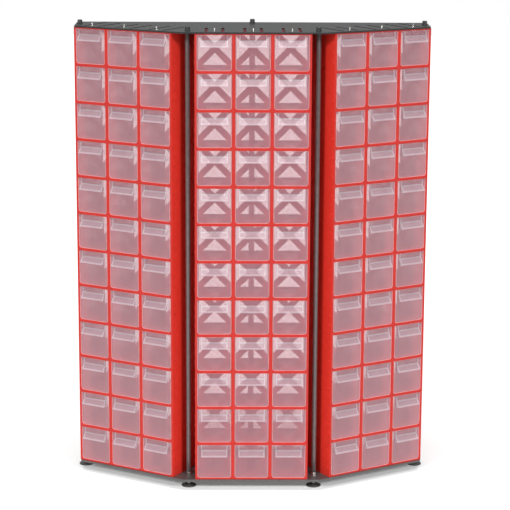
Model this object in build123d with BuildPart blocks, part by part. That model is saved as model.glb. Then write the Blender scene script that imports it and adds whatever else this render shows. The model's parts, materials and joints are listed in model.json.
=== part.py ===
from build123d import *

import os
from math import cos, radians, sin, tan

# A free-standing parts organizer: three banks of clear drawers stand side by side on a steel
# base plate, the outer two turned back, under a matching top plate. Each bank is a stack of
# plastic modules with three drawers each. Five steel posts tie the plates together, and a
# levelling foot is screwed into the bottom of each post. Millimetres, +Z up, the origin on the
# floor under the middle of the whole organizer, and the drawers open towards -Y.

os.makedirs("parts", exist_ok=True)

# Driving dimensions
CELL = 100.0  # pitch of the drawers, across and up
COLUMNS = 3
ROWS = 12
BANK_TURN = 30.0  # degrees that each side bank is turned back
FACE_RADIUS = 685.0  # the three drawer faces touch a circle of this radius, seen from above
MODULE_DEPTH = 119.0
FOOT_GAP = 28.0  # from the floor to the underside of the base plate
BASE_THICK = 5.0
TOP_THICK = 4.0

# Module: a moulded frame with three cells, closed behind by crossed bars
OPENING = 92.5  # width of a cell
RAIL = 3.0  # floor and ceiling of a cell
SIDE_WALL = 4.75
BACK_THICK = 4.0
BACK_BORDER = 3.0
BAR_WIDTH = 16.5
BAR_LENGTH = 1.36 * CELL
SMOOTH_BAND = 47.0  # the outer walls are flush this far back and recessed behind it
RECESS = 1.5
RECESS_RIB = 2.5
LUG = 1.5  # the dovetail lugs that key a module to one beside it
LUG_DEPTH = 8.0
LUG_HEIGHT = 5.0
LUG_BACK = 12.0
KEEL_SPREAD = 43.0  # two stacking keels run back along the top of each cell
KEEL_WIDTH = 6.0
KEEL_HEIGHT = 1.6
KEEL_LENGTH = 96.0
KEEL_BACK = 60.0  # the middle of a keel
GROOVE_DEPTH = 2.0  # the grooves underneath, which drop over the keels of the module below
SCREW_BACK = 12.0  # a screw in the middle of each ceiling, near the face
PILOT_RADIUS = 2.1
MODULE_WIDTH = COLUMNS * OPENING + (COLUMNS - 1) * (CELL - OPENING) + 2 * SIDE_WALL
OPENING_HEIGHT = CELL - 2 * RAIL

# Drawer: a clear tray with a high front and a hooded pull
PLAY = 0.5  # clearance all round inside the cell
WALL = 2.0
FRONT_THICK = 2.5
FRONT_SETBACK = 1.0
DRAWER_WIDTH = OPENING - 2 * PLAY
DRAWER_HEIGHT = OPENING_HEIGHT - 2 * PLAY
DRAWER_LENGTH = MODULE_DEPTH - BACK_THICK - FRONT_SETBACK - 2 * PLAY
TRAY_HEIGHT = 84.0  # the sides and the back are lower than the front, to pass under the screws
PULL_WIDTH = 71.0
PULL_REACH = 11.0  # the hood stands this far out of the front
PULL_START = 15.0  # from the top of the front down to where the hood begins
PULL_DROP = 14.0
PULL_SHELL = 2.6  # measured straight down
PULL_CHEEK = 2.0
PULL_RIB = 3.0
PULL_RIB_PROUD = 1.2

# Plates, posts and feet
PLATE_OVERHANG = 3.0  # in front of the module faces
PLATE_HALF_WIDTH = 472.0
PLATE_BACK = 275.0  # from the centre bank's face to the back edge
PLATE_CORNER = 3.0
THREAD = 8.0  # M8 throughout the posts
THREAD_PLAY = 0.2
PLATE_HOLE = 9.0
SLOT_WIDTH = 7.5  # slots in the top plate clear the keels of the top modules
SLOT_LENGTH = 108.0
NUT_ACROSS = 13.0
NUT_HEIGHT = 6.5
POST_RADIUS = 6.75
REAR_POST_RADIUS = 8.0
POST_BACK = 46.0  # from the centre bank's face to the two posts beside it
OUTER_POST_OFFSET = 19.7  # outside the outer side walls
OUTER_POST_BACK = 57.5  # from the side bank's face
REAR_POST_BACK = 262.0
WASHER_RADIUS = 8.0
WASHER_THICK = 1.6
BOLT_HEAD_RADIUS = 6.5
BOLT_HEAD = 8.0
BOLT_SHANK = 25.0
BOLT_KEY_ACROSS = 6.0
BOLT_KEY_DEEP = 4.0
PAD_RADIUS = 20.0
PAD_RIM = 3.0
PAD_HEIGHT = 7.0
PAD_HUB_RADIUS = 9.0
STUD_START = 3.0
STUD_TOP = 62.0
STUD_BORE_TOP = 80.0
SCREW_RADIUS = 2.5  # M5, its head inside the drawer's cell and its tip standing above the plate
SCREW_TIP = 9.0
SCREW_HEAD_RADIUS = 4.5
SCREW_HEAD = 2.7
BASE_SCREW_RADIUS = 2.0
BASE_SCREW_RISE = 10.0  # how far a base screw bites into a divider
BASE_SCREW_BACKS = (25.0, 95.0)

# Places that follow from them
ORGANIZER_DEPTH = REAR_POST_BACK + PAD_RADIUS + PULL_REACH - FRONT_SETBACK
FACE_Y = PULL_REACH - FRONT_SETBACK - ORGANIZER_DEPTH / 2  # the centre bank's face
BASE_TOP = FOOT_GAP + BASE_THICK
STACK_TOP = BASE_TOP + ROWS * CELL
TOP_OF_PLATE = STACK_TOP + TOP_THICK
TURN_SIN = sin(radians(BANK_TURN))
TURN_COS = cos(radians(BANK_TURN))
SIDE_X = FACE_RADIUS * TURN_SIN
SIDE_Y = FACE_Y + FACE_RADIUS * (1 - TURN_COS)


def bank_plane(side):
    """The bottom middle of a bank's face: X along the face, Y into the bank. side is -1, 0 or 1."""
    across = (TURN_COS, side * TURN_SIN, 0) if side else (1, 0, 0)
    return Plane(
        origin=(side * SIDE_X, SIDE_Y if side else FACE_Y, BASE_TOP),
        x_dir=across,
        z_dir=(0, 0, 1),
    )


BANKS = {"left": bank_plane(-1), "centre": bank_plane(0), "right": bank_plane(1)}


def on_bank(bank, x, y, z=0.0):
    """A point given in a bank's own frame, as a point of the organizer."""
    return BANKS[bank].from_local_coords(Vector(x, y, z))


def column_places(spread=0.0):
    """Distances across a bank: its column centres, or a pair this far apart about each."""
    centres = [CELL * (i - (COLUMNS - 1) / 2) for i in range(COLUMNS)]
    offsets = (-spread / 2, spread / 2) if spread else (0.0,)
    return [centre + offset for centre in centres for offset in offsets]


def save(name, shape):
    """Label a finished piece and write it."""
    shape.label = name
    export_step(shape, f"parts/{name}.step")


def octagon_holes(places, radius, low, height):
    """Eight-sided holes, as wide across the flats as round ones, in the part being built."""
    with BuildSketch(Plane.XY.offset(low)) as mouths:
        with Locations(*places):
            RegularPolygon(radius, 8, major_radius=False)
    extrude(mouths.sketch, amount=height, mode=Mode.SUBTRACT)


# ---------------------------------------------------------------- modules
# One module in its bank's frame: X across, Y into the bank, the face at Y = 0, the foot at Z = 0.

keel_places = [(x, KEEL_BACK) for x in column_places(KEEL_SPREAD)]
ceiling_places = [(x, SCREW_BACK) for x in column_places()]
divider_places = [
    (side * CELL / 2, back) for side in (-1, 1) for back in BASE_SCREW_BACKS
]

with BuildPart() as module:
    Box(MODULE_WIDTH, MODULE_DEPTH, CELL, align=(Align.CENTER, Align.MIN, Align.MIN))
    # three cells, open at the front
    with BuildSketch(Plane.XZ):
        with Locations((0, CELL / 2)):
            with GridLocations(CELL, CELL, COLUMNS, 1):
                Rectangle(OPENING, OPENING_HEIGHT)
    extrude(amount=BACK_THICK - MODULE_DEPTH, mode=Mode.SUBTRACT)
    # the back of each cell: a border and two crossed bars, with four triangles between them
    with BuildSketch(Plane.XZ):
        with Locations((0, CELL / 2)):
            with GridLocations(CELL, CELL, COLUMNS, 1):
                Rectangle(OPENING - 2 * BACK_BORDER, OPENING_HEIGHT - 2 * BACK_BORDER)
            for lean in (-45, 45):
                with GridLocations(CELL, CELL, COLUMNS, 1):
                    Rectangle(BAR_LENGTH, BAR_WIDTH, rotation=lean, mode=Mode.SUBTRACT)
    extrude(amount=-MODULE_DEPTH, mode=Mode.SUBTRACT)
    # the outer walls step in behind the smooth front band
    recess_middle = (SMOOTH_BAND + MODULE_DEPTH - RECESS_RIB) / 2
    with Locations(
        (-MODULE_WIDTH / 2, recess_middle, CELL / 2),
        (MODULE_WIDTH / 2, recess_middle, CELL / 2),
    ):
        Box(
            2 * RECESS,
            MODULE_DEPTH - RECESS_RIB - SMOOTH_BAND,
            CELL - 2 * RECESS_RIB,
            mode=Mode.SUBTRACT,
        )
    # keys on the left wall, and the notches that take them on the right
    lug_levels = [CELL * quarter / 4 for quarter in (1, 2, 3)]
    with Locations(*[(-MODULE_WIDTH / 2, LUG_BACK, level) for level in lug_levels]):
        Box(2 * LUG, LUG_DEPTH, LUG_HEIGHT)
    with Locations(*[(MODULE_WIDTH / 2, LUG_BACK, level) for level in lug_levels]):
        Box(2 * LUG + PLAY, LUG_DEPTH + PLAY, LUG_HEIGHT + PLAY, mode=Mode.SUBTRACT)
    # stacking keels on top, and the grooves in the floor that drop over them
    with Locations(*[(x, y, CELL) for x, y in keel_places]):
        Box(KEEL_WIDTH, KEEL_LENGTH, 2 * KEEL_HEIGHT)
    with Locations(*keel_places):
        Box(KEEL_WIDTH + PLAY, KEEL_LENGTH + PLAY, 2 * GROOVE_DEPTH, mode=Mode.SUBTRACT)
    # a hole through each ceiling for the top plate's screw, and pilot holes under the dividers
    octagon_holes(ceiling_places, SCREW_RADIUS + PLAY / 2, CELL - RAIL, RAIL)
    octagon_holes(divider_places, PILOT_RADIUS, 0, BASE_SCREW_RISE + 2 * PLAY)

for bank, plane in BANKS.items():
    stack = [module.part.moved(plane.location * Pos(0, 0, row * CELL)) for row in range(ROWS)]
    save(f"{bank}_bank_modules", Compound(children=stack))

# ---------------------------------------------------------------- drawers
# One drawer in its module's frame, in the middle column.

drawer_floor = RAIL + PLAY
drawer_top = drawer_floor + DRAWER_HEIGHT
crease = drawer_top - PULL_START
lip = crease - PULL_DROP
lip_y = FRONT_SETBACK - PULL_REACH

with BuildPart() as drawer:
    # the tray, and the full-height front over its end
    with Locations((0, FRONT_SETBACK, drawer_floor)):
        Box(DRAWER_WIDTH, DRAWER_LENGTH, TRAY_HEIGHT, align=(Align.CENTER, Align.MIN, Align.MIN))
        Box(DRAWER_WIDTH, FRONT_THICK, DRAWER_HEIGHT, align=(Align.CENTER, Align.MIN, Align.MIN))
    with Locations((0, FRONT_SETBACK + FRONT_THICK, drawer_floor + WALL)):
        Box(
            DRAWER_WIDTH - 2 * WALL,
            DRAWER_LENGTH - FRONT_THICK - WALL,
            TRAY_HEIGHT,
            align=(Align.CENTER, Align.MIN, Align.MIN),
            mode=Mode.SUBTRACT,
        )
    # the pull: a sloping hood
    with BuildSketch(Plane.YZ):
        with BuildLine():
            Polyline(
                (FRONT_SETBACK, crease),
                (lip_y, lip),
                (lip_y, lip - PULL_SHELL),
                (FRONT_SETBACK, crease - PULL_SHELL),
                close=True,
            )
        make_face()
    extrude(amount=PULL_WIDTH / 2, both=True)
    # its cheeks
    for side in (-1, 1):
        with BuildSketch(Plane.YZ.offset(side * (PULL_WIDTH - PULL_CHEEK) / 2)):
            with BuildLine():
                Polyline(
                    (FRONT_SETBACK, crease),
                    (lip_y, lip),
                    (lip_y, lip - PULL_SHELL),
                    (FRONT_SETBACK, lip - PULL_SHELL),
                    close=True,
                )
            make_face()
        extrude(amount=PULL_CHEEK / 2, both=True)
    # and the two ribs that run up from it to the top edge
    rib_x = (PULL_WIDTH - PULL_RIB) / 2
    with Locations((-rib_x, FRONT_SETBACK, crease), (rib_x, FRONT_SETBACK, crease)):
        Box(
            PULL_RIB,
            PULL_RIB_PROUD,
            PULL_START,
            align=(Align.CENTER, Align.MAX, Align.MIN),
        )

for bank, plane in BANKS.items():
    for row in range(ROWS):
        drawers = [
            drawer.part.moved(plane.location * Pos(x, 0, row * CELL))
            for x in column_places()
        ]
        save(f"{bank}_drawers_row_{row + 1:02d}", Compound(children=drawers))

# ---------------------------------------------------------------- posts
# Two in the gaps between the banks, two outside the outer walls, and a stouter one behind.

gap_x = (on_bank("centre", MODULE_WIDTH / 2, 0).X + on_bank("right", -MODULE_WIDTH / 2, 0).X) / 2
front_post_x = gap_x - POST_BACK * TURN_SIN / (2 * TURN_COS) + LUG
outer_post = on_bank("right", MODULE_WIDTH / 2 + OUTER_POST_OFFSET, OUTER_POST_BACK)

POSTS = {
    "front_left": (-front_post_x, FACE_Y + POST_BACK, POST_RADIUS),
    "front_right": (front_post_x, FACE_Y + POST_BACK, POST_RADIUS),
    "outer_left": (-outer_post.X, outer_post.Y, POST_RADIUS),
    "outer_right": (outer_post.X, outer_post.Y, POST_RADIUS),
    "rear": (0.0, FACE_Y + REAR_POST_BACK, REAR_POST_RADIUS),
}
post_places = [(x, y) for x, y, _ in POSTS.values()]
post_foot = BASE_TOP + NUT_HEIGHT
bore_radius = (THREAD + THREAD_PLAY) / 2

for name, (x, y, radius) in POSTS.items():
    with BuildPart() as post:
        with BuildSketch(Plane.XY.offset(post_foot)):
            with Locations((x, y)):
                Circle(radius)
                Circle(bore_radius, mode=Mode.SUBTRACT)
        extrude(amount=STACK_TOP - post_foot)
        # solid between the two tapped ends
        with BuildSketch(Plane.XY.offset(STUD_BORE_TOP)):
            with Locations((x, y)):
                Circle(bore_radius)
        extrude(amount=STACK_TOP - BOLT_SHANK - STUD_BORE_TOP)
    save(f"{name}_post", post.part)

# ---------------------------------------------------------------- plates

# the outline of both plates: it follows the three faces, and its four outer corners are rounded
plate_front = FACE_Y - PLATE_OVERHANG
plate_near = on_bank("right", -MODULE_WIDTH / 2, -PLATE_OVERHANG)
plate_slope = tan(radians(BANK_TURN))
bend_x = plate_near.X - (plate_near.Y - plate_front) / plate_slope
tip_y = plate_near.Y + (PLATE_HALF_WIDTH - plate_near.X) * plate_slope
half_outline = [
    (bend_x, plate_front),
    (PLATE_HALF_WIDTH, tip_y),
    (PLATE_HALF_WIDTH, FACE_Y + PLATE_BACK),
]
with BuildSketch() as plate_outline:
    with BuildLine():
        Polyline(*half_outline, *[(-x, y) for x, y in reversed(half_outline)], close=True)
    make_face()
    fillet(plate_outline.vertices().filter_by(lambda corner: corner.Y > 0), PLATE_CORNER)


def bank_points(places):
    """The same places on each of the three banks, in the organizer's plan, turned with the bank."""
    return [
        Location((point.X, point.Y, 0), (0, 0, side * BANK_TURN))
        for side, bank in zip((-1, 0, 1), BANKS)
        for point in (on_bank(bank, x, y) for x, y in places)
    ]


screw_places = bank_points(ceiling_places)
base_screw_places = bank_points(divider_places)

with BuildPart() as base_plate:
    with BuildSketch(Plane.XY.offset(FOOT_GAP)):
        add(plate_outline.sketch)
        with Locations(*post_places):
            Circle(PLATE_HOLE / 2, mode=Mode.SUBTRACT)
        with Locations(*base_screw_places):
            Circle(BASE_SCREW_RADIUS + PLAY / 2, mode=Mode.SUBTRACT)
    extrude(amount=BASE_THICK)
save("base_plate", base_plate.part)

with BuildPart() as top_plate:
    with BuildSketch(Plane.XY.offset(STACK_TOP)):
        add(plate_outline.sketch)
        with Locations(*post_places):
            Circle(PLATE_HOLE / 2, mode=Mode.SUBTRACT)
        with Locations(*screw_places):
            Circle(SCREW_RADIUS + PLAY / 2, mode=Mode.SUBTRACT)
        with Locations(*bank_points(keel_places)):
            SlotOverall(SLOT_LENGTH, SLOT_WIDTH, rotation=90, mode=Mode.SUBTRACT)
    extrude(amount=TOP_THICK)
save("top_plate", top_plate.part)

# ---------------------------------------------------------------- fasteners

# a nut above and a nut below the base plate lock each foot's stud
with BuildPart() as plate_nuts:
    for low in (FOOT_GAP - NUT_HEIGHT, BASE_TOP):
        with BuildSketch(Plane.XY.offset(low)):
            with Locations(*post_places):
                RegularPolygon(NUT_ACROSS / 2, 6, major_radius=False)
                Circle(bore_radius, mode=Mode.SUBTRACT)
        extrude(amount=NUT_HEIGHT)
save("plate_nuts", plate_nuts.part)

# washers, and socket-head bolts down through the top plate into the posts
with BuildPart() as washers:
    with BuildSketch(Plane.XY.offset(TOP_OF_PLATE)):
        with Locations(*post_places):
            Circle(WASHER_RADIUS)
            Circle(bore_radius, mode=Mode.SUBTRACT)
    extrude(amount=WASHER_THICK)

bolt_seat = TOP_OF_PLATE + WASHER_THICK
with BuildPart() as bolts:
    with BuildSketch(Plane.XY.offset(bolt_seat)):
        with Locations(*post_places):
            Circle(BOLT_HEAD_RADIUS)
    extrude(amount=BOLT_HEAD)
    with BuildSketch(Plane.XY.offset(bolt_seat + BOLT_HEAD)):
        with Locations(*post_places):
            RegularPolygon(BOLT_KEY_ACROSS / 2, 6, major_radius=False)
    extrude(amount=-BOLT_KEY_DEEP, mode=Mode.SUBTRACT)
    with BuildSketch(Plane.XY.offset(bolt_seat)):
        with Locations(*post_places):
            Circle(THREAD / 2)
    extrude(amount=PLAY - BOLT_SHANK)
save("post_bolts_and_washers", Compound(children=[*bolts.solids(), *washers.solids()]))


def screws(places, radius, seat, up, length):
    """Pan-head screws: the head's seat is level, and the shank points up (1) or down (-1)."""
    with BuildPart() as group:
        with BuildSketch(Plane.XY.offset(seat)):
            with Locations(*places):
                Circle(SCREW_HEAD_RADIUS)
        extrude(amount=-up * SCREW_HEAD)
        with BuildSketch(Plane.XY.offset(seat)):
            with Locations(*places):
                Circle(radius)
        extrude(amount=up * length)
    return group.part


# the top plate's screws stand up from inside the cells, through the tapped plate
top_seat = STACK_TOP - RAIL
top_length = RAIL + TOP_THICK + SCREW_TIP
save("top_plate_screws", screws(screw_places, SCREW_RADIUS, top_seat, 1, top_length))
base_length = BASE_THICK + BASE_SCREW_RISE
save(
    "base_plate_screws",
    screws(base_screw_places, BASE_SCREW_RADIUS, FOOT_GAP, 1, base_length),
)

# ---------------------------------------------------------------- levelling feet
# Each is a pad pressed onto a threaded stud that screws up through the nuts into its post.

for name, (x, y, _) in POSTS.items():
    with BuildPart() as pad:
        with BuildSketch(Plane.XY):
            with Locations((x, y)):
                Circle(PAD_RADIUS)
        extrude(amount=PAD_RIM)
        with BuildSketch(Plane.XY.offset(PAD_RIM)):
            with Locations((x, y)):
                Circle(PAD_RADIUS)
        with BuildSketch(Plane.XY.offset(PAD_HEIGHT)):
            with Locations((x, y)):
                Circle(PAD_HUB_RADIUS)
        loft()
        with BuildSketch(Plane.XY.offset(STUD_START)):
            with Locations((x, y)):
                Circle(THREAD / 2)
        extrude(amount=PAD_HEIGHT, mode=Mode.SUBTRACT)
    save(f"{name}_foot_pad", pad.part)

    with BuildPart() as stud:
        with BuildSketch(Plane.XY.offset(STUD_START)):
            with Locations((x, y)):
                Circle(THREAD / 2)
        extrude(amount=STUD_TOP - STUD_START)
        chamfer(stud.edges().group_by(Axis.Z)[-1], 1.0)
    save(f"{name}_foot_stud", stud.part)
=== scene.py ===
"""The finished look of the parts organizer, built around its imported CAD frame."""

import json
import math
from typing import NamedTuple

import bmesh
import bpy
from mathutils import Matrix, Vector
from mathutils.geometry import tessellate_polygon


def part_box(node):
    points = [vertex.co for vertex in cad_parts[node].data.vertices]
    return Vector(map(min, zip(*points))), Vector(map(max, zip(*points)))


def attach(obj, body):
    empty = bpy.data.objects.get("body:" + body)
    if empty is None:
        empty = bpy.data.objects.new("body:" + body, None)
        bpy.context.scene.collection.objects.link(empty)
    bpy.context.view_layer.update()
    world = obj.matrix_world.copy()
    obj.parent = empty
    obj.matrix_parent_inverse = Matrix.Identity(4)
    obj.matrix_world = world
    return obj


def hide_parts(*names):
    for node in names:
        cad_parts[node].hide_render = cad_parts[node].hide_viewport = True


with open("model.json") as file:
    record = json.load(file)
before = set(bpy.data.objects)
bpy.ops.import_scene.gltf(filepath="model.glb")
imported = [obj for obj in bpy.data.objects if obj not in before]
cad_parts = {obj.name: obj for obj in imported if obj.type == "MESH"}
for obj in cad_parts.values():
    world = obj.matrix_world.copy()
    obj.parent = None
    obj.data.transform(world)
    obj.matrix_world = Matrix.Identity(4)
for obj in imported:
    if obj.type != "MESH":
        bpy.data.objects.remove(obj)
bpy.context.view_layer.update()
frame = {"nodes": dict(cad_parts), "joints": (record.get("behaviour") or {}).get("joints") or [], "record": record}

MM = 0.001

# ---------------------------------------------------------------- sizes, in metres
BANKS = ("left", "centre", "right")
FEET = ("front_left", "front_right", "outer_left", "outer_right", "rear")
COLUMNS = 3
ROWS = 12
CELL = 100 * MM  # pitch of the drawers, across and up

# modules
MODULE_DEPTH = 119 * MM
MODULE_WIDTH = 302 * MM
OPENING = 92.5 * MM
OPENING_CORNER = 7 * MM  # the two lower corners of a cell
RAIL = 3 * MM
BACK_THICK = 4 * MM
BACK_BORDER = 3 * MM
BAR_WIDTH = 16.5 * MM
SMOOTH_BAND = 47 * MM
RECESS = 1.5 * MM
RECESS_RIB = 2.5 * MM
LUG = 1.5 * MM
LUG_SIZE = (8 * MM, 5 * MM)  # along the depth, and up
LUG_BACK = 12 * MM
NOTCH_PLAY = 0.5 * MM
KEEL_SPREAD = 43 * MM
KEEL_SIZE = (6 * MM, 96 * MM)
KEEL_HEIGHT = 1.6 * MM
KEEL_BACK = 60 * MM
GROOVE_DEPTH = 2 * MM
MODULE_EDGE = 0.45 * MM  # the most that a moulded edge is rounded

# drawers
PLAY = 0.5 * MM
WALL = 2 * MM
FRONT_THICK = 2.5 * MM
FRONT_SETBACK = 1 * MM
DRAWER_WIDTH = OPENING - 2 * PLAY
DRAWER_HEIGHT = CELL - 2 * RAIL - 2 * PLAY
DRAWER_BACK = MODULE_DEPTH - BACK_THICK - 2 * PLAY
TRAY_HEIGHT = 84 * MM
DRAWER_CORNER = 7.5 * MM
FRAME_EDGE = 0.9 * MM  # the rounding of the front's sides and foot
FRAME_RING = 2.2 * MM  # a brighter line down the front's sides and along its foot
FRAME_TOP = 1 * MM  # and a thinner one along its top
PULL_WIDTH = 71 * MM
PULL_REACH = 11 * MM
PULL_START = 15 * MM
PULL_DROP = 14 * MM
PULL_SHELL = 2.6 * MM
PULL_CHEEK = 2 * MM
PULL_RIB = 3 * MM
PULL_RIB_PROUD = 1.2 * MM
PULL_CREASE = 1.6 * MM  # the bead between the ribs, where the hood begins
PULL_GAP = 0.2 * MM  # from the ribs and the bead to the lines above and below them
PULL_BORDER = 3.6 * MM  # the brighter sides of the hood
PULL_LINES = (0.14, 0.87)  # the brighter bands end and begin at these shares of the slope
RIDGES = (0.32, 0.5, 0.68)  # where the pull's three ridges lie, as shares of the slope
RIDGE_HALF = 0.045  # half a ridge's width, in the same shares
RIDGE_PROUD = 0.35 * MM
GUIDES = 9  # upright guides for loose dividers, on each side wall
GUIDE_PITCH = 11 * MM
GUIDE_SIZE = (1.2 * MM, 0.6 * MM)  # along the wall, and proud of it
GUIDE_SHORT = 3 * MM  # a guide stops this far short of the wall's top and foot

# plates
PLATE_EDGE = 0.6 * MM  # the most that a plate's edge is rounded
PLATE_CORNER = 3 * MM
POST_HOLE = 4.5 * MM
HOLE_PLAY = 0.25 * MM
SLOT = (7.5 * MM, 108 * MM)  # the top plate's slots over the keels
SLOT_ROUND = 0.49  # the radius of a slot's ends, as a share of its width

# hardware
THREAD_PITCH = 1.25 * MM
THREAD_DEPTH = 0.6 * MM
RINGS_PER_TURN = 6  # of a thread
BORE = 4.2 * MM
NUT_ACROSS = 13 * MM
NUT_HEIGHT = 6.5 * MM
WASHER_RADIUS = 8 * MM
WASHER_THICK = 1.6 * MM
HEAD_RADIUS = 6.5 * MM
HEAD_HEIGHT = 8 * MM
HEAD_KEY = 6 * MM
HEAD_KEY_DEEP = 4 * MM
KNURLS = 36
KNURL_DEPTH = 0.18 * MM
BOLT_SHANK = 24.5 * MM
BOLT_RADIUS = 4 * MM
BOLT_CHAMFER = 0.8 * MM
POST_EDGE = 0.6 * MM
POST_BORE_TOP = 80 * MM  # the bore at a post's foot reaches this far above the floor
SCREW_HEAD_RADIUS = 4.5 * MM
SCREW_HEAD = 2.7 * MM
SCREW_KEY = 2.5 * MM
SCREW_KEY_DEEP = 1.4 * MM
SCREW_PITCH = 0.8 * MM
SCREW_THREAD_DEPTH = 0.4 * MM
SCREW_BACK = 12 * MM  # from a module's face back to the screw in its ceiling
SCREW_RADIUS = 2.5 * MM
BASE_SCREW_RADIUS = 2 * MM
BASE_SCREW_BACKS = (25 * MM, 95 * MM)
PAD_HUB = 9 * MM
PAD_RIBS = 12
NUT_TURNS = (17, 28)  # degrees: where the lower and the upper nut of the first post stop
NUT_STEP = 23  # and how much further round those of the next post do
BOLT_STEP = 31  # the same for the bolts

# the mesh tools' limits
SAME_POINT = 0.001 * MM  # points this close are joined
ON_FACE = 0.01 * MM  # and a point this close to a face counts as on it
FLAT = 0.5  # degrees: faces that turn less than this are one
SHARP = 25  # and an edge that turns more than this is rounded

record = frame["record"]
joints = {joint["name"]: joint for joint in frame["joints"]}
body_of = {
    node: body for body, nodes in record["behaviour"]["bodies"].items() for node in nodes
}


def bank_matrix(bank):
    """From a bank's own frame to the row frame: X across, Y into the bank, Z up from its foot."""
    outward = Vector(joints[f"{bank}_row_01_slide"]["axis"])
    across = Vector((-outward.y, outward.x, 0))
    drawers = frame["nodes"][f"{bank}_drawers_row_01"].data.vertices
    modules = frame["nodes"][f"{bank}_bank_modules"].data.vertices
    sideways = [vertex.co.dot(across) for vertex in drawers]
    face = max(vertex.co.dot(outward) for vertex in modules)
    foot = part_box(f"{bank}_bank_modules")[0].z
    origin = across * (min(sideways) + max(sideways)) / 2 + outward * face
    turned = Matrix((across, -outward, (0, 0, 1))).transposed().to_4x4()
    return Matrix.Translation((origin.x, origin.y, foot)) @ turned


BANK_MATRIX = {bank: bank_matrix(bank) for bank in BANKS}
COLUMN_PLACES = [CELL * (i - (COLUMNS - 1) / 2) for i in range(COLUMNS)]


def middle(node):
    """The middle of a CAD node, seen from above, and its lowest and highest Z."""
    low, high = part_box(node)
    return (low.x + high.x) / 2, (low.y + high.y) / 2, low.z, high.z


# ---------------------------------------------------------------- materials


def new_material(name):
    """An empty node material, and its node tree."""
    material = bpy.data.materials.new(name)
    material.use_nodes = True
    material.node_tree.nodes.clear()
    return material, material.node_tree


def add_node(tree, kind, inputs=None, **settings):
    """A shader node, with sockets set to values or linked to other nodes' sockets."""
    made = tree.nodes.new(kind)
    for key, value in settings.items():
        setattr(made, key, value)
    for socket, value in (inputs or {}).items():
        if isinstance(value, bpy.types.NodeSocket):
            tree.links.new(value, made.inputs[socket])
        else:
            made.inputs[socket].default_value = value
    return made


def object_points(tree, stretch=(1, 1, 1)):
    """Points in the row frame, stretched along the axes."""
    coordinates = add_node(tree, "ShaderNodeTexCoord")
    inputs = {"Vector": coordinates.outputs["Object"], "Scale": stretch}
    return add_node(tree, "ShaderNodeMapping", inputs).outputs["Vector"]


NOISE_RANGE = (0.3, 0.7)  # nearly all of a noise lies between these
COLOUR_STOPS = (0.35, 0.65)  # where a ramp has its dark and its light colour
COLOUR_PATCH = 12  # the size of a patch of one colour, in grains
GLOSS_PATCH = 3  # the size of a patch of one gloss, in grains


def noise(tree, points, scale, detail=3.0):
    """Soft noise from 0 to 1."""
    inputs = {"Vector": points, "Scale": scale, "Detail": detail}
    return add_node(tree, "ShaderNodeTexNoise", inputs).outputs["Fac"]


def spread(tree, value, low, high):
    """A noise, spread so that it runs from low to high."""
    first, last = NOISE_RANGE
    inputs = {"Value": value, "From Min": first, "From Max": last, "To Min": low, "To Max": high}
    return add_node(tree, "ShaderNodeMapRange", inputs).outputs["Result"]


def between(tree, value, dark, light):
    """A colour between two, by a noise."""
    ramp = add_node(tree, "ShaderNodeValToRGB", {"Fac": value})
    for stop, place, colour in zip(ramp.color_ramp.elements, COLOUR_STOPS, (dark, light)):
        stop.position = place
        stop.color = (*colour, 1)
    return ramp.outputs["Color"]


def bumps(tree, height, distance):
    """A relief from a noise, its depth in metres."""
    inputs = {"Height": height, "Distance": distance, "Strength": 1.0}
    return add_node(tree, "ShaderNodeBump", inputs).outputs["Normal"]


def solid_material(name, dark, light, rough, grain, relief, metallic=0.0, gloss=0.5, glow=0.0):
    """An opaque material: two close colours, a range of roughness and a fine relief."""
    material, tree = new_material(name)
    points = object_points(tree)
    shader = add_node(
        tree,
        "ShaderNodeBsdfPrincipled",
        {
            "Base Color": between(tree, noise(tree, points, grain / COLOUR_PATCH), dark, light),
            "Roughness": spread(tree, noise(tree, points, grain / GLOSS_PATCH), *rough),
            "Normal": bumps(tree, noise(tree, points, grain), relief),
            "Metallic": metallic,
            "Specular IOR Level": gloss,
            "Emission Strength": glow,
        },
    )
    add_node(tree, "ShaderNodeOutputMaterial", {"Surface": shader.outputs["BSDF"]})
    return material


CLOUD_STRETCH = (1, 1, 0.3)  # the clouds in the milk are drawn out upwards
CLOUD_GRAIN = 40
CLOUD_SPREAD = (0.96, 1.04)  # the share of the cover that they leave and add
GLOSS_GRAIN = 25
GLOSS_SPREAD = 1.4  # the roughest spot against the smoothest
THROUGH_MILK = 0.4  # the share of the milk's light that comes through from behind
SEEN_THROUGH = (1, 0.985, 0.985)  # the colour of what is seen through a wall
LIT_THROUGH = (0.94, 0.91, 0.91)  # milk scatters light onwards, so a wall's shadow is faint
SHINE_BLEND = 0.1  # a low share keeps the shine to grazing angles


def mixed(tree, share, first, second):
    """Two shaders, with a share of the second."""
    inputs = {0: share, 1: first.outputs[0], 2: second.outputs[0]}
    return add_node(tree, "ShaderNodeMixShader", inputs)


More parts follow.
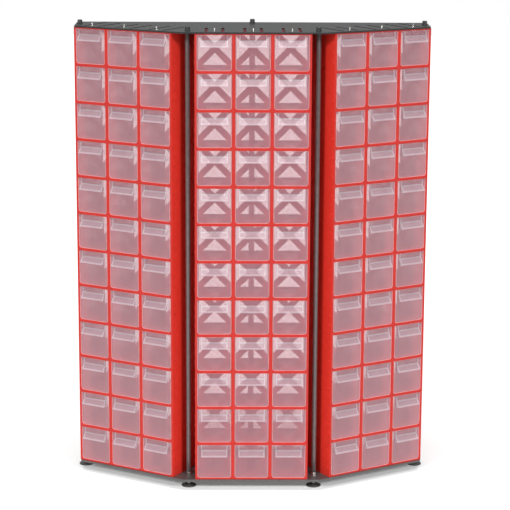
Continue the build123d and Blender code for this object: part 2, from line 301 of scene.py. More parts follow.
def clear_material(name, cover, tint, rough):
    """Milky see-through plastic: cover is the share of light that a wall stops.

    A wall's outer face has all of its milk, and its inner face has only a shine.
    """
    material, tree = new_material(name)
    points = object_points(tree, CLOUD_STRETCH)
    covers = [cover * share for share in CLOUD_SPREAD]
    cloudy = spread(tree, noise(tree, points, CLOUD_GRAIN, 2.0), *covers)
    front = add_node(tree, "ShaderNodeBsdfDiffuse", {"Color": (*tint, 1)})
    back = add_node(tree, "ShaderNodeBsdfTranslucent", {"Color": (*tint, 1)})
    milk = mixed(tree, THROUGH_MILK, front, back)
    through = add_node(tree, "ShaderNodeBsdfTransparent", {"Color": (*SEEN_THROUGH, 1)})
    body = mixed(tree, cloudy, through, milk)
    smears = noise(tree, points, GLOSS_GRAIN, 2.0)
    roughness = spread(tree, smears, rough, rough * GLOSS_SPREAD)
    shine = add_node(tree, "ShaderNodeBsdfGlossy", {"Roughness": roughness})
    facing = add_node(tree, "ShaderNodeLayerWeight", {"Blend": SHINE_BLEND}).outputs["Facing"]
    surface = mixed(tree, facing, body, shine)
    onwards = add_node(tree, "ShaderNodeBsdfTransparent", {"Color": (*LIT_THROUGH, 1)})
    shadow = add_node(tree, "ShaderNodeLightPath").outputs["Is Shadow Ray"]
    whole = mixed(tree, shadow, surface, onwards)
    add_node(tree, "ShaderNodeOutputMaterial", {"Surface": whole.outputs["Shader"]})
    return material


RED = solid_material(
    "red_plastic", (0.54, 0.024, 0.014), (0.58, 0.028, 0.017), (0.34, 0.48), 700, 0.00006
)
# the same red plastic, darker, on the modules' front faces: painted shade
RED_FACE_PAINTED_SHADE = solid_material(
    "red_face_painted_shade", (0.35, 0.012, 0.008), (0.39, 0.015, 0.010), (0.45, 0.58), 900, 0.00006, gloss=0.3
)
# the same red plastic, nearly black, on the roofs and keels: painted shade in the top plate's slots
RED_ROOF_PAINTED_SHADE = solid_material(
    "red_roof_painted_shade", (0.10, 0.006, 0.012), (0.13, 0.008, 0.015), (0.5, 0.6), 900, 0.00006, gloss=0.2
)
CLEAR = clear_material("clear_wall", 0.51, (0.55, 0.290, 0.335), 0.10)
CLEAR_INNER = clear_material("clear_inner", 0.0, (0.55, 0.290, 0.335), 0.10)
CLEAR_FRAME = clear_material("clear_frame", 0.75, (0.74, 0.36, 0.37), 0.25)
CLEAR_EDGE = clear_material("clear_edge", 0.60, (0.55, 0.47, 0.51), 0.30)
CLEAR_PULL = clear_material("clear_pull", 0.48, (0.45, 0.35, 0.395), 0.30)
TOP_PLATE = solid_material(
    "top_paint", (0.013, 0.014, 0.015), (0.019, 0.020, 0.021), (0.24, 0.34), 1500, 0.00005,
    gloss=0.32,
)
BASE_PLATE = solid_material(
    "base_paint", (0.050, 0.046, 0.045), (0.064, 0.060, 0.058), (0.26, 0.36), 1500, 0.00005
)
POST = solid_material(
    "painted_post", (0.080, 0.070, 0.070), (0.098, 0.087, 0.087), (0.18, 0.26), 900, 0.00004,
    gloss=0.8,
)
NYLON = solid_material(
    "dark_nylon", (0.050, 0.047, 0.045), (0.066, 0.063, 0.060), (0.32, 0.46), 1200, 0.00008
)
OXIDE = solid_material(
    "black_oxide", (0.028, 0.028, 0.030), (0.045, 0.045, 0.048), (0.30, 0.42), 1600, 0.00003
)
ZINC = solid_material(
    "zinc_plate", (0.62, 0.61, 0.57), (0.76, 0.75, 0.72), (0.22, 0.34), 1400, 0.00002, metallic=1.0
)

# ---------------------------------------------------------------- mesh tools


def rounded(corners, radii, steps=5):
    """A flat outline with each corner rounded to its own radius; 0 leaves it sharp."""
    outline = []
    for i, (corner, radius) in enumerate(zip(corners, radii)):
        here = Vector(corner)
        if not radius:
            outline.append(here)
            continue
        before = (Vector(corners[i - 1]) - here).normalized()
        after = (Vector(corners[(i + 1) % len(corners)]) - here).normalized()
        half_turn = before.angle(after) / 2
        run = radius / math.tan(half_turn)
        centre = here + (before + after).normalized() * radius / math.sin(half_turn)
        start = here + before * run - centre
        end = here + after * run - centre
        first = math.atan2(start.y, start.x)
        sweep = (math.atan2(end.y, end.x) - first + math.pi) % math.tau - math.pi
        for step in range(steps + 1):
            angle = first + sweep * step / steps
            outline.append(centre + radius * Vector((math.cos(angle), math.sin(angle))))
    return outline


def rectangle(x, y, width, height):
    """The corners of a rectangle about a middle."""
    half, rise = width / 2, height / 2
    return [
        Vector((x - half, y - rise)),
        Vector((x + half, y - rise)),
        Vector((x + half, y + rise)),
        Vector((x - half, y + rise)),
    ]


def strip(mesh, first, second, closed=True, material=0):
    """Faces between two rows of points, already on the mesh."""
    count = len(first) if closed else len(first) - 1
    for i in range(count):
        j = (i + 1) % len(first)
        face = mesh.faces.new((first[i], first[j], second[j], second[i]))
        face.material_index = material


class Feature(NamedTuple):
    """A part of a panel that is raised, sunk, open or of another material."""

    shape: list
    height: float = 0.0
    inner: tuple = ()
    closed: bool = True
    material: int | None = None


def panel(mesh, place, outline, features=(), level=0.0, material=0):
    """A flat face with features; place turns (u, v, w) into a point, with w the height above it."""
    loops = [outline, *[feature.shape for feature in features]]
    flat = [[Vector((point[0], point[1], 0)) for point in loop] for loop in loops]
    points = [mesh.verts.new(place(point.x, point.y, level)) for loop in flat for point in loop]
    for corners in tessellate_polygon(flat):
        mesh.faces.new([points[i] for i in corners]).material_index = material
    for feature in features:
        own = material if feature.material is None else feature.material
        top = level + feature.height
        if feature.height:
            rings = [
                [mesh.verts.new(place(point[0], point[1], height)) for point in feature.shape]
                for height in (level, top)
            ]
            strip(mesh, *rings, material=own)
        if feature.closed:
            panel(mesh, place, feature.shape, feature.inner, top, own)


def tidy(mesh):
    """Joins what touches, turns every face outwards and drops the seams inside flat faces."""
    bmesh.ops.remove_doubles(mesh, verts=mesh.verts, dist=SAME_POINT)
    bmesh.ops.dissolve_limit(
        mesh,
        angle_limit=math.radians(FLAT),
        verts=mesh.verts,
        edges=mesh.edges,
        delimit={"MATERIAL"},
    )
    bmesh.ops.recalc_face_normals(mesh, faces=mesh.faces)


def round_edges(mesh, width, chosen=None, segments=2, material=-1):
    """Rounds the sharp edges, or the sharp ones among those chosen.

    The width is an upper limit: the most crowded edge sets how far all of them are rounded.
    """
    sharp = [
        edge
        for edge in mesh.edges
        if len(edge.link_faces) == 2
        and edge.calc_face_angle() > math.radians(SHARP)
        and (chosen is None or chosen(edge))
    ]
    made = bmesh.ops.bevel(
        mesh,
        geom=sharp,
        offset=width,
        segments=segments,
        profile=0.5,
        affect="EDGES",
        clamp_overlap=True,
        material=material,
    )
    for face in made["faces"]:
        face.smooth = True
    bmesh.ops.remove_doubles(mesh, verts=mesh.verts, dist=SAME_POINT)


def finish_piece(name, meshes, materials, node):
    """Makes one piece from copies of meshes, in the row frame, that stands for a CAD node."""
    joined = bmesh.new()
    for template, matrix in meshes:
        copy = template.copy()
        copy.transform(matrix)
        joined.from_mesh(copy)
        bpy.data.meshes.remove(copy)
    data = bpy.data.meshes.new(name)
    joined.to_mesh(data)
    joined.free()
    for material in materials:
        data.materials.append(material)
    piece = bpy.data.objects.new(name, data)
    bpy.context.scene.collection.objects.link(piece)
    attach(piece, body_of[node])
    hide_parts(node)


def as_mesh(name, built):
    """Ends a mesh under construction."""
    data = bpy.data.meshes.new(name)
    built.to_mesh(data)
    built.free()
    return data


# ---------------------------------------------------------------- modules


def lattice_holes(x):
    """The four triangles left between the crossed bars behind the cell at x."""
    reach = BAR_WIDTH / math.sqrt(2)
    half = OPENING / 2 - BACK_BORDER
    rise = CELL / 2 - RAIL - BACK_BORDER
    middle_z = CELL / 2
    holes = []
    for side in (-1, 1):
        base = middle_z + side * rise
        corners = (x + rise - reach, base), (x - rise + reach, base)
        holes.append([(x, middle_z + side * reach), *corners])
        edge = x + side * half
        corners = (edge, middle_z + half - reach), (edge, middle_z - half + reach)
        holes.append([(x + side * reach, middle_z), *corners])
    return holes


BODY_FACE, PAINTED_SHADE_FACE, PAINTED_SHADE_ROOF = range(3)  # a module's material slots; the face and the roof take darker copies of the red plastic, as painted shade
MODULE_MATERIALS = [RED, RED_FACE_PAINTED_SHADE, RED_ROOF_PAINTED_SHADE]


def add_cells(mesh):
    """A module's face with its cells, and its back with the holes of their lattices."""
    cell_height = CELL - 2 * RAIL
    corner = OPENING_CORNER
    cells = []
    back_holes = []
    for x in COLUMN_PLACES:
        holes = [Feature(hole, -BACK_THICK, closed=False) for hole in lattice_holes(x)]
        opening = rounded(rectangle(x, CELL / 2, OPENING, cell_height), (corner, corner, 0, 0))
        cells.append(Feature(opening, BACK_THICK - MODULE_DEPTH, holes, material=BODY_FACE))
        back_holes += [Feature(hole, closed=False) for hole in lattice_holes(x)]
    face = rectangle(0, CELL / 2, MODULE_WIDTH, CELL)
    # the face takes the darker red, painted shade
    panel(mesh, lambda u, v, w: (u, -w, v), face, cells, material=PAINTED_SHADE_FACE)
    panel(mesh, lambda u, v, w: (u, MODULE_DEPTH + w, v), face, back_holes)


def add_outer_walls(mesh):
    """The outer walls, recessed behind a smooth band: lugs on the left, their notches opposite."""
    half = MODULE_WIDTH / 2
    levels = [CELL * quarter / 4 for quarter in (1, 2, 3)]
    recess_depth = MODULE_DEPTH - RECESS_RIB - SMOOTH_BAND
    recess_shape = rectangle(
        SMOOTH_BAND + recess_depth / 2, CELL / 2, recess_depth, CELL - 2 * RECESS_RIB
    )
    recess = Feature(recess_shape, -RECESS)
    lugs = [Feature(rectangle(LUG_BACK, level, *LUG_SIZE), LUG) for level in levels]
    notch = [size + NOTCH_PLAY for size in LUG_SIZE]
    notches = [Feature(rectangle(LUG_BACK, level, *notch), -LUG) for level in levels]
    wall = rectangle(MODULE_DEPTH / 2, CELL / 2, MODULE_DEPTH, CELL)
    panel(mesh, lambda u, v, w: (-half - w, u, v), wall, [recess, *lugs])
    panel(mesh, lambda u, v, w: (half + w, u, v), wall, [recess, *notches])


def add_roof_and_underside(mesh):
    """The keels on a module's roof, the roof and keels painted deep red as shade, and the grooves underneath that
    drop over them.
    """
    roof = rectangle(0, MODULE_DEPTH / 2, MODULE_WIDTH, MODULE_DEPTH)
    keel_places = [x + side * KEEL_SPREAD / 2 for x in COLUMN_PLACES for side in (-1, 1)]
    keels = [Feature(rectangle(x, KEEL_BACK, *KEEL_SIZE), KEEL_HEIGHT) for x in keel_places]
    groove = [size + NOTCH_PLAY for size in KEEL_SIZE]
    grooves = [Feature(rectangle(x, KEEL_BACK, *groove), -GROOVE_DEPTH) for x in keel_places]
    # the roof and its keels take the nearly black red, painted shade
    panel(mesh, lambda u, v, w: (u, v, CELL + w), roof, keels, material=PAINTED_SHADE_ROOF)
    panel(mesh, lambda u, v, w: (u, v, -w), roof, grooves)


def module_mesh():
    """One module: X across, the face at Y = 0, the foot at Z = 0."""
    mesh = bmesh.new()
    add_cells(mesh)
    add_outer_walls(mesh)
    add_roof_and_underside(mesh)
    tidy(mesh)
    round_edges(mesh, MODULE_EDGE)
    return as_mesh("module", mesh)


def make_modules():
    """The three stacks of modules."""
    module = module_mesh()
    for bank, matrix in BANK_MATRIX.items():
        stack = [(module, matrix @ Matrix.Translation((0, 0, CELL * row))) for row in range(ROWS)]
        finish_piece(f"{bank}_modules", stack, MODULE_MATERIALS, f"{bank}_bank_modules")


# ---------------------------------------------------------------- drawers

WALL_FACE, EDGE_FACE, PULL_FACE, FRAME_FACE, INNER_FACE = range(5)  # a drawer's material slots
DRAWER_MATERIALS = [CLEAR, CLEAR_EDGE, CLEAR_PULL, CLEAR_FRAME, CLEAR_INNER]

# a drawer in its cell's frame: X across from the middle, Y in from the face, Z up
DRAWER_HALF = DRAWER_WIDTH / 2
DRAWER_LOW = RAIL + PLAY
DRAWER_TOP = DRAWER_LOW + DRAWER_HEIGHT
TRAY_RIM = DRAWER_LOW + TRAY_HEIGHT
FRONT_BACK = FRONT_SETBACK + FRONT_THICK
WINDOW_TOP = DRAWER_TOP - FRAME_TOP
CREASE = DRAWER_TOP - PULL_START  # where the hood leaves the front
CREASE_UNDER = CREASE - PULL_SHELL
LIP = CREASE - PULL_DROP
LIP_UNDER = LIP - PULL_SHELL
LIP_Y = FRONT_SETBACK - PULL_REACH


def row_of_points(mesh, outline, y):
    """Points on the mesh along an (x, z) outline, all at one depth."""
    return [mesh.verts.new((x, y, z)) for x, z in outline]


def mirrored(half):
    """An outline from its right half, given from the bottom up."""
    return [*half, *[(-x, z) for x, z in reversed(half)]]


def pull_slope():
    """The pull's upper line from its crease to its lip, with the ridges, as (y, z) points."""
    start, end = Vector((FRONT_SETBACK, CREASE)), Vector((LIP_Y, LIP))
    along = end - start
    outwards = Vector((along.y, -along.x)).normalized()
    line = [start, start + along * PULL_LINES[0]]
    for share in RIDGES:
        for offset, proud in ((-1, 0), (-0.5, 1), (0.5, 1), (1, 0)):
            place = start + along * (share + offset * RIDGE_HALF)
            line.append(place + outwards * RIDGE_PROUD * proud)
    return [*line, start + along * PULL_LINES[1], end]


def add_pull(mesh):
    """The hooded pull on a drawer's front: its slope, lip, underside and cheeks."""
    half, inner, border = (PULL_WIDTH / 2 - inset for inset in (0, PULL_CHEEK, PULL_BORDER))
    slope = pull_slope()
    edge = [(LIP_Y, LIP), (LIP_Y, LIP_UNDER)]
    foot = [(LIP_Y, LIP_UNDER), (FRONT_SETBACK, LIP_UNDER)]
    underside = [(LIP_Y, LIP_UNDER), (FRONT_SETBACK, CREASE_UNDER)]

    def points(x, line):
        return [mesh.verts.new((x, y, z)) for y, z in line]

    def band(left, right, line, material):
        strip(mesh, points(left, line), points(right, line), closed=False, material=material)

    band(-border, border, slope[1:-1], PULL_FACE)
    band(-border, border, slope[:2], EDGE_FACE)
    band(-border, border, slope[-2:], EDGE_FACE)
    band(-inner, inner, edge, EDGE_FACE)
    band(-inner, inner, underside, INNER_FACE)
    for side in (-1, 1):
        band(side * border, side * half, slope, EDGE_FACE)
        band(side * inner, side * half, edge, EDGE_FACE)
        band(side * inner, side * half, foot, EDGE_FACE)
        mesh.faces.new(points(side * half, [*slope, *foot])).material_index = EDGE_FACE
        inner_line = [(FRONT_SETBACK, CREASE_UNDER), *foot]
        mesh.faces.new(points(side * inner, inner_line)).material_index = EDGE_FACE


def pull_footprint():
    """Where the pull meets the front: its shell and its two cheeks."""
    outer, inner = PULL_WIDTH / 2, PULL_WIDTH / 2 - PULL_CHEEK
    half = [(inner, LIP_UNDER), (outer, LIP_UNDER), (outer, CREASE)]
    return [(inner, CREASE_UNDER), *mirrored(half), (-inner, CREASE_UNDER)]


def pull_yoke():
    """The two ribs from the top edge down to the hood, and the bead that joins them along it."""
    outer, inner = PULL_WIDTH / 2, PULL_WIDTH / 2 - PULL_RIB
    foot, top = CREASE + PULL_GAP, WINDOW_TOP - PULL_GAP
    return mirrored([(outer, foot), (outer, top), (inner, top), (inner, foot + PULL_CREASE)])


def front_outline(inset, top):
    """A drawer's front, its lower corners rounded, drawn in by an inset on three sides."""
    half = DRAWER_HALF - inset
    foot = DRAWER_LOW + inset
    radius = DRAWER_CORNER - inset
    tray = [(-half, TRAY_RIM), (-half, foot), (half, foot), (half, TRAY_RIM)]
    return rounded([*tray, (half, top), (-half, top)], (0, radius, radius, 0, 0, 0))


def tray_section(inset):
    """The tray's section, from its top left corner down, across and up to its top right."""
    half, foot = DRAWER_HALF - inset, DRAWER_LOW + inset
    radius = DRAWER_CORNER - inset
    corners = [(-half, TRAY_RIM), (-half, foot), (half, foot), (half, TRAY_RIM)]
    return rounded(corners, (0, radius, radius, 0))


def add_front(mesh):
    """A drawer's front: a bright frame, in it the window with the pull and its ribs, and a back."""
    whole = front_outline(0, DRAWER_TOP)
    footprint = Feature(pull_footprint(), closed=False)
    yoke = Feature(pull_yoke(), PULL_RIB_PROUD, material=EDGE_FACE)
    window = Feature(
        front_outline(FRAME_RING, WINDOW_TOP), inner=(footprint, yoke), material=WALL_FACE
    )
    panel(mesh, lambda u, v, w: (u, FRONT_SETBACK - w, v), whole, [window], material=FRAME_FACE)
    add_pull(mesh)
    rows = [row_of_points(mesh, whole, y) for y in (FRONT_SETBACK, FRONT_BACK)]
    strip(mesh, *rows, material=EDGE_FACE)
    upper = [(DRAWER_HALF, TRAY_RIM), (DRAWER_HALF, DRAWER_TOP)]
    back = [*tray_section(WALL), *mirrored(upper)]
    panel(mesh, lambda u, v, w: (u, FRONT_BACK - w, v), back, material=INNER_FACE)


def add_tray(mesh):
    """The tray behind the front, outside and inside, but for the inner faces of its side walls."""
    outer, inner = tray_section(0), tray_section(WALL)
    rows = [row_of_points(mesh, outer, y) for y in (FRONT_BACK, DRAWER_BACK)]
    strip(mesh, *rows, closed=False)
    panel(mesh, lambda u, v, w: (u, DRAWER_BACK + w, v), outer)
    rows = [row_of_points(mesh, inner[1:-1], y) for y in (FRONT_BACK, DRAWER_BACK - WALL)]
    strip(mesh, *rows, closed=False, material=INNER_FACE)
    panel(mesh, lambda u, v, w: (u, DRAWER_BACK - WALL + w, v), inner, material=INNER_FACE)


def add_side_walls(mesh):
    """The inner faces of a tray's side walls, with upright guides for loose dividers."""
    side_low = tray_section(WALL)[1].y
    level = (side_low + TRAY_RIM) / 2
    length = DRAWER_BACK - WALL - FRONT_BACK
    guide_middle = FRONT_BACK + length / 2
    guide_backs = [guide_middle + GUIDE_PITCH * (i - (GUIDES - 1) / 2) for i in range(GUIDES)]
    guide_height = TRAY_RIM - side_low - 2 * GUIDE_SHORT
    wall = rectangle(guide_middle, level, length, TRAY_RIM - side_low)
    guide_width, proud = GUIDE_SIZE
    guides = [
        Feature(rectangle(back, level, guide_width, guide_height), proud, material=PULL_FACE)
        for back in guide_backs
    ]
    for side in (-1, 1):

        def on_wall(u, v, w, side=side):
            return side * (DRAWER_HALF - WALL - w), u, v

        panel(mesh, on_wall, wall, guides, material=INNER_FACE)


def add_rim(mesh):
    """The rim of the tray, along its sides and its back."""

    def bracket(width, back):
        return [(-width, FRONT_BACK), (-width, back), (width, back), (width, FRONT_BACK)]

    inner = bracket(DRAWER_HALF - WALL, DRAWER_BACK - WALL)
    horseshoe = [*bracket(DRAWER_HALF, DRAWER_BACK), *reversed(inner)]
    panel(mesh, lambda u, v, w: (u, v, TRAY_RIM + w), horseshoe, material=EDGE_FACE)


def round_front(mesh):
    """Rounds the front's sides and foot; its top, the tray and the pull stay sharp."""

    def on_frame(vertex):
        x, y, z = vertex.co
        at_side = abs(abs(x) - DRAWER_HALF) < ON_FACE
        return abs(y - FRONT_SETBACK) < ON_FACE and (at_side or z < DRAWER_LOW + DRAWER_CORNER)

    def frame_edge(edge):
        return all(on_frame(vertex) for vertex in edge.verts)

    round_edges(mesh, FRAME_EDGE, frame_edge, segments=3, material=FRAME_FACE)


def drawer_mesh():
    """One drawer: a clear tray with a high front and a hooded pull."""
    mesh = bmesh.new()
    add_front(mesh)
    add_tray(mesh)
    add_side_walls(mesh)
    add_rim(mesh)
    tidy(mesh)
    round_front(mesh)
    return as_mesh("drawer", mesh)


def make_drawers():
    """Every row of three drawers."""
    drawer = drawer_mesh()
    for bank, matrix in BANK_MATRIX.items():
        for row in range(ROWS):
            places = [Matrix.Translation((x, 0, CELL * row)) for x in COLUMN_PLACES]
            copies = [(drawer, matrix @ place) for place in places]
            name = f"{bank}_drawers_row_{row + 1:02d}"
            finish_piece(f"{name}_clear", copies, DRAWER_MATERIALS, name)


# ---------------------------------------------------------------- plates


def plate_outline(node):
    """The outline that both plates share, worked out from the plate's box and the banks' faces."""
    low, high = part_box(node)
    right = BANK_MATRIX["right"]
    near = right @ Vector((-MODULE_WIDTH / 2, low.y - BANK_MATRIX["centre"].translation.y, 0))
    slope = right.col[0].y / right.col[0].x
    bend = near.x - (near.y - low.y) / slope
    tip = near.y + (high.x - near.x) * slope
    half = [(bend, low.y), (high.x, tip), (high.x, high.y)]
    corners = [*half, *[(-x, y) for x, y in reversed(half)]]
    return rounded(corners, [0, *[PLATE_CORNER] * 4, 0])


def circle(x, y, radius, count=24):
    """A round outline."""
    steps = [math.tau * i / count for i in range(count)]
    return [Vector((x + radius * math.cos(a), y + radius * math.sin(a))) for a in steps]


def plate_mesh(node, holes):
    """A plate with holes right through it."""
    mesh = bmesh.new()
    low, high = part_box(node)
    outline = plate_outline(node)
    thick = high.z - low.z
    through = [Feature(hole, -thick, closed=False) for hole in holes]
    open_holes = [Feature(hole, closed=False) for hole in holes]
    panel(mesh, lambda u, v, w: (u, v, high.z + w), outline, through)
    panel(mesh, lambda u, v, w: (u, v, low.z - w), outline, open_holes)
    rows = [[mesh.verts.new((x, y, z)) for x, y in outline] for z in (low.z, high.z)]
    strip(mesh, *rows)
    tidy(mesh)
    round_edges(mesh, PLATE_EDGE)
    return as_mesh(node, mesh)


def on_banks(places):
    """The same places on every bank, in the row frame."""
    return [matrix @ Vector((*place, 0)) for matrix in BANK_MATRIX.values() for place in places]


CEILING_SCREWS = [(x, SCREW_BACK) for x in COLUMN_PLACES]
DIVIDER_SCREWS = [(side * CELL / 2, back) for side in (-1, 1) for back in BASE_SCREW_BACKS]


def screw_holes(places, radius):
    """A round hole at each place on every bank."""
    return [circle(point.x, point.y, radius + HOLE_PLAY, 16) for point in on_banks(places)]


def keel_slots():
    """A slot over each keel of the top modules."""
    slots = []
    for x in COLUMN_PLACES:
        for side in (-1, 1):
            corners = rectangle(x + side * KEEL_SPREAD / 2, KEEL_BACK, *SLOT)
            slots.append(rounded(corners, [SLOT[0] * SLOT_ROUND] * 4, 6))
    return [
        [(matrix @ Vector((*point, 0))).to_2d() for point in slot]
        for matrix in BANK_MATRIX.values()
        for slot in slots
    ]


def make_plates():
    """The base plate and the slotted top plate."""
    post_holes = [circle(*middle(f"{foot}_post")[:2], POST_HOLE) for foot in FEET]
    base = plate_mesh("base_plate", post_holes + screw_holes(DIVIDER_SCREWS, BASE_SCREW_RADIUS))
    finish_piece("base_plate_painted", [(base, Matrix())], [BASE_PLATE], "base_plate")
    holes = post_holes + screw_holes(CEILING_SCREWS, SCREW_RADIUS) + keel_slots()
    top = plate_mesh("top_plate", holes)
    finish_piece("top_plate_painted", [(top, Matrix())], [TOP_PLATE], "top_plate")


# ---------------------------------------------------------------- turned parts


def number(value, angle):
    """A size that may depend on the angle."""
    return value(angle) if callable(value) else value


def turned(name, profile, segments=48, loop=False, smooth=35):
    """A turned part from (radius, height) pairs, each a number or a function of the angle.

    Its ends are capped, or with loop the last ring joins the first.
    """
    mesh = bmesh.new()
    angles = [math.tau * i / segments for i in range(segments)]
    rings = [
        [
            mesh.verts.new(
                (
                    number(radius, a) * math.cos(a),
                    number(radius, a) * math.sin(a),
                    number(height, a),
                )
            )
            for a in angles
        ]
        for radius, height in profile
    ]
    pairs = list(zip(rings, rings[1:]))
    if loop:
        pairs.append((rings[-1], rings[0]))
    for first, second in pairs:
        strip(mesh, first, second)
    if not loop:
        mesh.faces.new(rings[0])
        mesh.faces.new(rings[-1])
    bmesh.ops.recalc_face_normals(mesh, faces=mesh.faces)
    for face in mesh.faces:
        face.smooth = len(face.verts) == 4
    data = as_mesh(name, mesh)
    data.set_sharp_from_angle(angle=math.radians(smooth))
    return data


def hexagon(across):
    """The radius of a hexagon, by the angle."""
    return lambda angle: across / 2 / math.cos((angle + math.pi / 6) % (math.pi / 3) - math.pi / 6)


def nut_mesh():
    """A hexagon nut with chamfered corners, standing on Z = 0."""
    flat = NUT_ACROSS / 2
    shape = hexagon(NUT_ACROSS)
    rise = math.tan(math.radians(30))
    lip = 0.2 * MM
    countersink = 0.5 * MM
    profile = [
        (BORE, countersink),
        (BORE + countersink, 0),
        (flat - lip, 0),
        (shape, lambda a: (shape(a) - flat) * rise + lip),
        (shape, lambda a: NUT_HEIGHT - (shape(a) - flat) * rise - lip),
        (flat - lip, NUT_HEIGHT),
        (BORE + countersink, NUT_HEIGHT),
        (BORE, NUT_HEIGHT - countersink),
    ]
    return turned("nut", profile, segments=72, loop=True, smooth=20)


def washer_mesh():
    """A plain washer, standing on Z = 0."""
    edge = 0.25 * MM
    profile = [
        (BORE, edge),
        (BORE + edge, 0),
        (WASHER_RADIUS - edge, 0),
        (WASHER_RADIUS, edge),
        (WASHER_RADIUS, WASHER_THICK - edge),
        (WASHER_RADIUS - edge, WASHER_THICK),
        (BORE + edge, WASHER_THICK),
        (BORE, WASHER_THICK - edge),
    ]
    return turned("washer", profile, loop=True)


def bolt_mesh():
    """A socket-head bolt with a knurled head, its seat at Z = 0."""
    key = hexagon(HEAD_KEY)
    seat_chamfer = 0.5 * MM
    mouth_chamfer = 0.3 * MM
    crown = 0.9 * MM  # the rounding of the head's top
    plain = 1.1 * MM  # the knurling stops this far below the top

    def knurl(angle):
        return HEAD_RADIUS - KNURL_DEPTH * (0.5 - 0.5 * math.cos(angle * KNURLS))

    def mouth(angle):
        return key(angle) + mouth_chamfer

    profile = [
        (BOLT_RADIUS - BOLT_CHAMFER, -BOLT_SHANK),
        (BOLT_RADIUS, -BOLT_SHANK + BOLT_CHAMFER),
        (BOLT_RADIUS, 0),
        (HEAD_RADIUS - seat_chamfer, 0),
        (knurl, seat_chamfer),
        (knurl, HEAD_HEIGHT - plain),
        (HEAD_RADIUS - 0.25 * MM, HEAD_HEIGHT - crown),
        (HEAD_RADIUS - crown, HEAD_HEIGHT),
        (mouth, HEAD_HEIGHT),
        (key, HEAD_HEIGHT - mouth_chamfer),
        (key, HEAD_HEIGHT - HEAD_KEY_DEEP),
    ]
    return turned("bolt", profile, segments=144, smooth=30)


def threaded(radius, low, high, pitch=THREAD_PITCH, depth=THREAD_DEPTH):
    """The profile of a thread from low to high, with a chamfer at its top."""
    steps = round((high - low) / pitch * RINGS_PER_TURN)

    def thread(z):
        def size(angle):
            turn = (z / pitch - angle / math.tau) % 1
            groove = depth * abs(2 * turn - 1)
            chamfer = max(0.0, z - (high - depth))
            return radius - max(groove, chamfer)

        return size

    heights = [low + (high - low) * i / steps for i in range(steps + 1)]
    return [(thread(z), z) for z in heights]


def screw_mesh(radius, length):
    """A pan-head screw pointing up, its seat at Z = 0, with a socket in its head."""
    key = hexagon(SCREW_KEY)
    crown = 1.2 * MM  # the rounding of the head
    bend = 0.4 * MM  # the middle of the rounding lies this far in from both faces
    profile = [
        (key, -SCREW_HEAD + SCREW_KEY_DEEP),
        (key, -SCREW_HEAD),
        (SCREW_HEAD_RADIUS - crown, -SCREW_HEAD),
        (SCREW_HEAD_RADIUS - bend, -SCREW_HEAD + bend),
        (SCREW_HEAD_RADIUS, -SCREW_HEAD + crown),
        (SCREW_HEAD_RADIUS, 0),
        (radius, 0),
        *threaded(radius, 0.5 * MM, length, SCREW_PITCH, SCREW_THREAD_DEPTH),
    ]
    return turned("screw", profile, segments=36, smooth=50)


def post_mesh(node):
    """A post, bored at both ends."""
    low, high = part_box(node)
    radius = (high.x - low.x) / 2
    edge = POST_EDGE
    bend = edge * 0.3  # the middle of the rounding lies this far in from both faces
    profile = [
        (BORE, POST_BORE_TOP),
        (BORE, low.z),
        (radius - edge, low.z),
        (radius - bend, low.z + bend),
        (radius, low.z + edge),
        (radius, high.z - edge),
        (radius - bend, high.z - bend),
        (radius - edge, high.z),
        (BORE, high.z),
        (BORE, high.z - BOLT_SHANK - 0.5 * MM),
    ]
    return turned(node, profile, segments=64, smooth=50)


def pad_mesh(radius, height):
    """A foot pad: a rim, a ribbed cone and a hub, with a hollow beneath."""
    hollow = 1.2 * MM

    def raised(low, by):
        return lambda a: low + by * (0.5 + 0.5 * math.cos(a * PAD_RIBS)) ** 2

    profile = [
        (2 * MM, hollow),
        (radius * 0.7, hollow),
        (radius * 0.76, 0),
        (radius - 0.6 * MM, 0),
        (radius, 0.6 * MM),
        (radius, 2.4 * MM),
        (radius - 0.3 * MM, 2.8 * MM),
        (radius - 0.9 * MM, 3 * MM),
        (radius * 0.86, 3.4 * MM),
        (radius * 0.80, raised(3.6 * MM, 0.35 * MM)),
        (PAD_HUB + 1.6 * MM, raised(5.6 * MM, 0.6 * MM)),
        (PAD_HUB + 0.3 * MM, 5.9 * MM),
        (PAD_HUB - 0.2 * MM, height - 0.4 * MM),
        (PAD_HUB - 0.7 * MM, height),
        (BORE, height),
        (BORE, 3 * MM),
    ]
    return turned("pad", profile, segments=96, smooth=40)


def add_post(foot):
    """The post over a foot."""
    node = f"{foot}_post"
    x, y = middle(node)[:2]
    place = Matrix.Translation((x, y, 0))
    finish_piece(f"{node}_painted", [(post_mesh(node), place)], [POST], node)


def add_foot(foot):
    """A levelling foot: a threaded stud on a ribbed pad."""
    x, y, low, high = middle(f"{foot}_foot_stud")
    place = Matrix.Translation((x, y, 0))
    stud = turned("stud", threaded(BOLT_RADIUS, low, high), segments=32, smooth=60)
    finish_piece(f"{foot}_stud_threaded", [(stud, place)], [ZINC], f"{foot}_foot_stud")
    low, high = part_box(f"{foot}_foot_pad")
    pad = pad_mesh((high.x - low.x) / 2, high.z - low.z)
    finish_piece(f"{foot}_pad_ribbed", [(pad, place)], [NYLON], f"{foot}_foot_pad")


def spun(x, y, z, degrees):
    """A place, and a turn about its upright line."""
    return Matrix.Translation((x, y, z)) @ Matrix.Rotation(math.radians(degrees), 4, "Z")


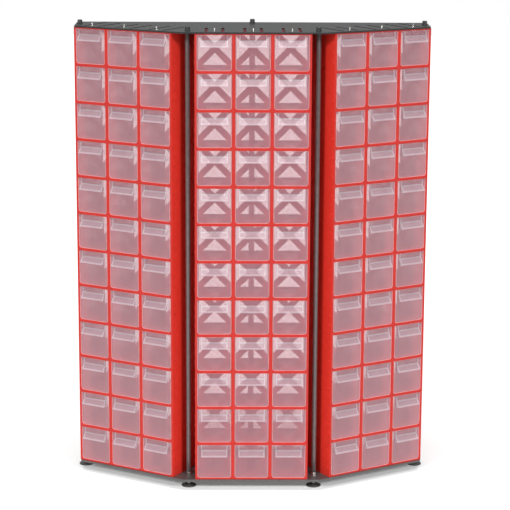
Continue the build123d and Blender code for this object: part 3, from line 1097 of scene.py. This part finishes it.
def make_hardware():
    """Posts, feet, nuts, washers and bolts; no two nuts or bolts stop at the same angle."""
    nut, washer, bolt = nut_mesh(), washer_mesh(), bolt_mesh()
    nut_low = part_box("plate_nuts")[0].z
    base_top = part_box("base_plate")[1].z
    plate_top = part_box("top_plate")[1].z
    nuts, tops = [], []
    for i, foot in enumerate(FEET):
        add_post(foot)
        add_foot(foot)
        x, y = middle(f"{foot}_post")[:2]
        for z, turn in zip((nut_low, base_top), NUT_TURNS):
            nuts.append((nut, spun(x, y, z, turn + NUT_STEP * i)))
        tops.append((washer, Matrix.Translation((x, y, plate_top))))
        tops.append((bolt, spun(x, y, plate_top + WASHER_THICK, BOLT_STEP * i)))
    finish_piece("hex_nuts", nuts, [ZINC], "plate_nuts")
    finish_piece("bolts_and_washers", tops, [OXIDE], "post_bolts_and_washers")


def add_screws(name, node, radius, places):
    """Screws that all stand on the same level, with their heads below it."""
    low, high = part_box(node)
    seat = low.z + SCREW_HEAD
    screw = screw_mesh(radius, high.z - seat)
    copies = [(screw, Matrix.Translation((point.x, point.y, seat))) for point in on_banks(places)]
    finish_piece(name, copies, [ZINC], node)


def make_screws():
    """The screws that hold the plates to the modules."""
    add_screws("top_screws", "top_plate_screws", SCREW_RADIUS, CEILING_SCREWS)
    add_screws("base_screws", "base_plate_screws", BASE_SCREW_RADIUS, DIVIDER_SCREWS)


# ---------------------------------------------------------------- the studio

FLOOR_HALF = 12
FLOOR_GLOW = 0.13  # keeps the floor's shadows light
# each light's azimuth, elevation and softness, in degrees, and its strength
SUNS = {
    "key_left": (-34, 28, 9, 2.12),
    "key_right": (34, 28, 9, 1.92),
    "overhead": (0, 78, 30, 1.8),
}
SUN_DISTANCE = 5
SURROUND = 0.3  # the light from all round
SURROUND_SHINE = 0.08  # how much brighter it is where it's mirrored
BACKDROP = 1.0
CAMERA_LENS = 130.986
CAMERA_PLACE = (-0.0533, -4.8934, 1.7115)
CAMERA_PITCH = 12.5391  # degrees down
CAMERA_YAW = 0.7252  # degrees to the right
CAMERA_ROLL = 0.2861


def make_floor():
    """A pale floor."""
    mesh = bmesh.new()
    bmesh.ops.create_grid(mesh, x_segments=8, y_segments=8, size=FLOOR_HALF)
    floor = bpy.data.objects.new("floor", as_mesh("floor", mesh))
    bpy.context.scene.collection.objects.link(floor)
    pale, paler = (0.90, 0.90, 0.90), (0.92, 0.92, 0.92)
    floor.data.materials.append(
        solid_material("pale_floor", pale, paler, (0.6, 0.7), 40, 0.0, glow=FLOOR_GLOW)
    )


def add_sun(name, azimuth, elevation, softness, strength):
    """A distant soft light; azimuth 0 is in front and 90 is on the right."""
    light = bpy.data.lights.new(name, "SUN")
    light.angle = math.radians(softness)
    light.energy = strength
    turn, rise = math.radians(azimuth), math.radians(elevation)
    level = math.cos(rise)
    out = Vector((math.sin(turn) * level, -math.cos(turn) * level, math.sin(rise)))
    lamp = bpy.data.objects.new(name, light)
    lamp.location = out * SUN_DISTANCE
    lamp.rotation_euler = (-out).to_track_quat("-Z", "Y").to_euler()
    bpy.context.scene.collection.objects.link(lamp)


def make_lights():
    """Two soft lights in front, left and right, one above, and an even surround."""
    for name, settings in SUNS.items():
        add_sun(name, *settings)
    world = bpy.data.worlds.new("studio")
    bpy.context.scene.world = world
    world.use_nodes = True
    tree = world.node_tree
    tree.nodes.clear()
    path = add_node(tree, "ShaderNodeLightPath")
    inputs = {0: path.outputs["Is Glossy Ray"], 1: SURROUND_SHINE, 2: SURROUND}
    strength = add_node(tree, "ShaderNodeMath", inputs, operation="MULTIPLY_ADD").outputs["Value"]
    white = (1, 1, 1, 1)
    surround = add_node(tree, "ShaderNodeBackground", {"Color": white, "Strength": strength})
    backdrop = add_node(tree, "ShaderNodeBackground", {"Color": white, "Strength": BACKDROP})
    whole = mixed(tree, path.outputs["Is Camera Ray"], surround, backdrop)
    add_node(tree, "ShaderNodeOutputWorld", {"Surface": whole.outputs["Shader"]})


def make_camera():
    """A long lens a little above the organizer's top, looking slightly down."""
    camera = bpy.data.cameras.new("camera")
    camera.sensor_width = 36
    camera.lens = CAMERA_LENS
    camera.clip_end = 100
    holder = bpy.data.objects.new("camera", camera)
    pitch, yaw, roll = (math.radians(a) for a in (CAMERA_PITCH, CAMERA_YAW, CAMERA_ROLL))
    forward = Vector(
        (math.sin(yaw) * math.cos(pitch), math.cos(yaw) * math.cos(pitch), -math.sin(pitch))
    )
    level = Vector((math.cos(yaw), -math.sin(yaw), 0))
    upward = level.cross(forward)
    right = math.cos(roll) * level + math.sin(roll) * upward
    up = math.cos(roll) * upward - math.sin(roll) * level
    turn = Matrix((right, up, -forward)).transposed().to_4x4()
    holder.matrix_world = Matrix.Translation(CAMERA_PLACE) @ turn
    bpy.context.scene.collection.objects.link(holder)
    bpy.context.scene.camera = holder


make_modules()
make_drawers()
make_plates()
make_hardware()
make_screws()
make_floor()
make_lights()
make_camera()
bpy.context.scene.view_settings.view_transform = "Standard"
bpy.context.scene.cycles.transparent_max_bounces = 32
